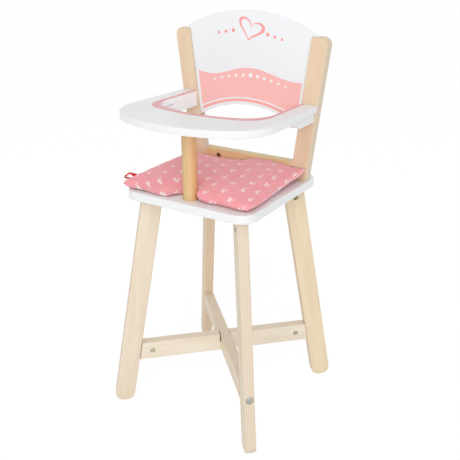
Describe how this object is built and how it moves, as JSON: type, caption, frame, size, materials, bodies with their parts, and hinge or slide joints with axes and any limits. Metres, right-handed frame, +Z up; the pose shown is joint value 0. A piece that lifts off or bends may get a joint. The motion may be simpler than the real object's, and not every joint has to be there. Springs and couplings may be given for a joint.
{
  "type": "doll high chair",
  "caption": "Wooden doll high chair with splayed legs, crossed stretchers, a U-shaped tray on a round post, an arched back panel and a slit seat cushion.",
  "frame": {"origin": "on the floor, under the middle of the chair's overall box, 2 mm in front of the crossing of its stretchers", "axes": "+Z up, -Y towards the front where the tray is, +X to the side that is on the right when the chair is seen from the front"},
  "size_m": [0.254, 0.258, 0.5706],
  "materials": {
    "birch_plywood": "clear satin varnish on birch plywood",
    "beech_dowel": "clear satin varnish on solid wood",
    "white_lacquer": "white satin lacquer on wood",
    "printed_panel": "white satin lacquer with a pink print",
    "pink_cotton": "matte printed cotton over soft stuffing",
    "red_ribbon": "woven satin ribbon",
    "zinc_steel": "zinc-plated steel"
  },
  "bodies": {
    "chair": {"seat_board": "white_lacquer", "tray_board": "white_lacquer", "tray_left_cheek": "white_lacquer", "tray_right_cheek": "white_lacquer", "back_panel": "printed_panel", "back_frame": "birch_plywood", "front_left_leg": "birch_plywood", "front_right_leg": "birch_plywood", "back_left_leg": "birch_plywood", "back_right_leg": "birch_plywood", "lower_stretcher": "birch_plywood", "upper_stretcher": "birch_plywood", "crotch_post": "beech_dowel", "crotch_post_screw": "zinc_steel", "front_left_leg_bolt": "zinc_steel", "front_right_leg_bolt": "zinc_steel", "back_left_leg_bolt": "zinc_steel", "back_right_leg_bolt": "zinc_steel", "front_left_leg_nut": "zinc_steel", "front_right_leg_nut": "zinc_steel", "back_left_leg_nut": "zinc_steel", "back_right_leg_nut": "zinc_steel", "front_left_stretcher_bolt": "zinc_steel", "front_right_stretcher_bolt": "zinc_steel", "back_left_stretcher_bolt": "zinc_steel", "back_right_stretcher_bolt": "zinc_steel", "front_left_stretcher_nut": "zinc_steel", "front_right_stretcher_nut": "zinc_steel", "back_left_stretcher_nut": "zinc_steel", "back_right_stretcher_nut": "zinc_steel", "frame_left_bolt": "zinc_steel", "frame_right_bolt": "zinc_steel", "frame_left_nut": "zinc_steel", "frame_right_nut": "zinc_steel", "tray_left_bolt": "zinc_steel", "tray_right_bolt": "zinc_steel", "tray_left_insert": "zinc_steel", "tray_right_insert": "zinc_steel"},
    "cushion": {"cushion": "pink_cotton", "cushion_tag": "red_ribbon"}
  },
  "joints": [
    {"name": "cushion_lift", "type": "slide", "parent": "chair", "child": "cushion", "axis": [0, 0, 1], "range_m": [0, 0.066]}
  ]
}
